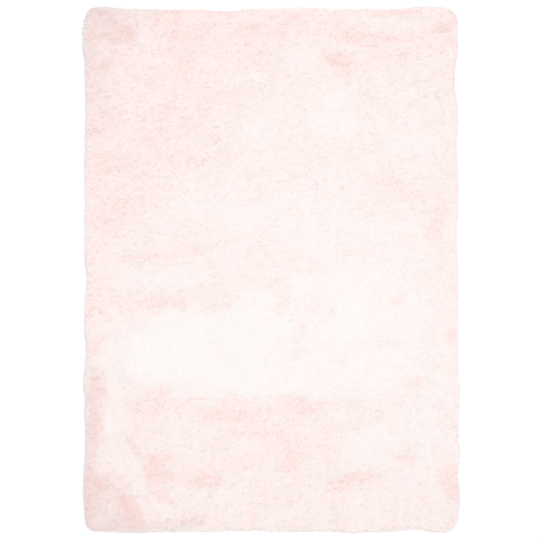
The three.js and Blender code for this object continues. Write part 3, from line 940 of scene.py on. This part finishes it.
def pile_material(yarn_shade):
    """Soft crimped yarn, with painted shade: a deeper pink low down between the locks."""
    made = Surface("plush_pile")
    colour = made.shaded_yarn(yarn_shade, made.own("depth"))
    yarn = made.add("ShaderNodeUVMap", "UV", uv_map="yarn")
    stretched = made.add("ShaderNodeMapping", "Vector", Vector=yarn, Scale=(9, 1.6, 1))
    fineness = dict(Scale=2.2, Detail=4.0, Roughness=0.6)
    fibres = made.add("ShaderNodeTexNoise", "Fac", Vector=stretched, **fineness)
    limits = {"To Min": 0.98, "To Max": 1.01}
    change = made.add("ShaderNodeMapRange", "Result", Value=fibres, **limits)
    changed = dict(operation="SCALE", Vector=colour, Scale=change)
    colour = made.add("ShaderNodeVectorMath", "Vector", **changed)
    gloss = {"Sheen Weight": 0.25, "Sheen Roughness": 0.5, "Specular IOR Level": 0.2}
    return made.finished(colour, Normal=made.bump(fibres, 0.2, 0.0004), Roughness=0.85, **gloss)


def core_material(yarn_shade):
    """The same yarn seen end on, in the close pile between the locks, with painted deep shade."""
    made = Surface("deep_pile")
    place = made.add("ShaderNodeTexCoord", "Object")
    fineness = dict(Scale=420.0, Detail=3.0, Roughness=0.6)
    grain = made.add("ShaderNodeTexNoise", "Fac", Vector=place, **fineness)
    limits = {"To Min": -0.15, "To Max": 0.15}
    speckle = made.add("ShaderNodeMapRange", "Result", Value=grain, **limits)
    colour = made.shaded_yarn(yarn_shade, made.combine("ADD", speckle, made.own("depth")))
    gloss = {"Specular IOR Level": 0.1}
    return made.finished(colour, Normal=made.bump(grain, 0.8, 0.002), Roughness=0.95, **gloss)


def cloth_material():
    """Plain woven backing with a thin dry coating."""
    made = Surface("woven_backing")
    place = made.add("ShaderNodeTexCoord", "Object")
    threads = dict(wave_type="BANDS", Vector=place, Scale=180.0, Distortion=0.6)
    warp = made.add("ShaderNodeTexWave", "Fac", bands_direction="X", **threads)
    weft = made.add("ShaderNodeTexWave", "Fac", bands_direction="Y", **threads)
    weave = made.combine("MAXIMUM", warp, weft)
    tones = dict(data_type="RGBA", Factor=weave, A=(*CLOTH_DARK, 1), B=(*CLOTH_LIGHT, 1))
    colour = made.add("ShaderNodeMix", "Result", **tones)
    return made.finished(colour, Normal=made.bump(weave, 0.6, 0.0006), Roughness=0.85)


# ---- floor, lights and camera ----

FLOOR_HALF_SIZE = 30  # far enough out to fill every view
FLOOR_DROP = 0.0005  # how far it is below the underside of the rug
FLOOR_COLOUR = (0.96, 0.96, 0.96)
SKY_STRENGTH = 0.760
SKY_COLOUR = (0.96, 0.98, 1.0)
LAMP_PLACE = (0.8, 1.1, 11.0)
LAMP_SIZE = 4.5
LAMP_POWER = 560
LAMP_COLOUR = (1.0, 0.99, 0.98)
FRAME_WIDTH = 2.205  # how much of the floor the view takes in, from side to side
FRAME_MIDDLE = (-0.0068, -0.0015)  # the point of the floor that it is centred on
LENS = 85.0
SENSOR = 36.0


def make_floor():
    """A plain white floor."""
    floor = bmesh.new()
    bmesh.ops.create_grid(floor, x_segments=1, y_segments=1, size=FLOOR_HALF_SIZE)
    bmesh.ops.translate(floor, verts=floor.verts, vec=(0, 0, -FLOOR_DROP))
    mesh = finished_mesh("floor", floor)
    matt = {"Roughness": 0.9, "Specular IOR Level": 0.0}
    mesh.materials.append(Surface("white_floor").finished((*FLOOR_COLOUR, 1), **matt))
    link("floor", mesh)


def light_studio():
    """Soft daylight from all round, and one broad lamp high above, towards the head and right."""
    world = bpy.data.worlds.new("soft_daylight")
    world.use_nodes = True
    sky = world.node_tree.nodes["Background"]
    sky.inputs["Color"].default_value = (*SKY_COLOUR, 1)
    sky.inputs["Strength"].default_value = SKY_STRENGTH
    bpy.context.scene.world = world
    lamp = bpy.data.lights.new("broad_lamp", "AREA")
    lamp.size = LAMP_SIZE
    lamp.energy = LAMP_POWER
    lamp.color = LAMP_COLOUR
    holder = link("broad_lamp", lamp)
    holder.location = LAMP_PLACE
    holder.rotation_euler = (-Vector(LAMP_PLACE)).to_track_quat("-Z", "Y").to_euler()


def aim_camera():
    """Looks straight down, with the whole rug in view and its head up."""
    camera = bpy.data.cameras.new("camera")
    camera.lens = LENS
    camera.sensor_width = SENSOR
    holder = link("camera", camera)
    distance = FRAME_WIDTH * LENS / SENSOR
    holder.location = (*FRAME_MIDDLE, distance + pile_height / 2)
    camera.clip_start = 0.1
    camera.clip_end = 100
    bpy.context.scene.camera = holder


# ---- the rug put together ----

aim_camera()
light_studio()
make_floor()
bpy.context.scene.view_settings.view_transform = "Standard"

yarn_shade = yarn_shade_group()
pile_pieces = [make_core(core_material(yarn_shade)), *make_locks(pile_material(yarn_shade))]
ground_cloth = make_ground_cloth(cloth_material())

for piece in (ground_cloth, *pile_pieces):
    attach(piece, "root")
    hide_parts("rug")
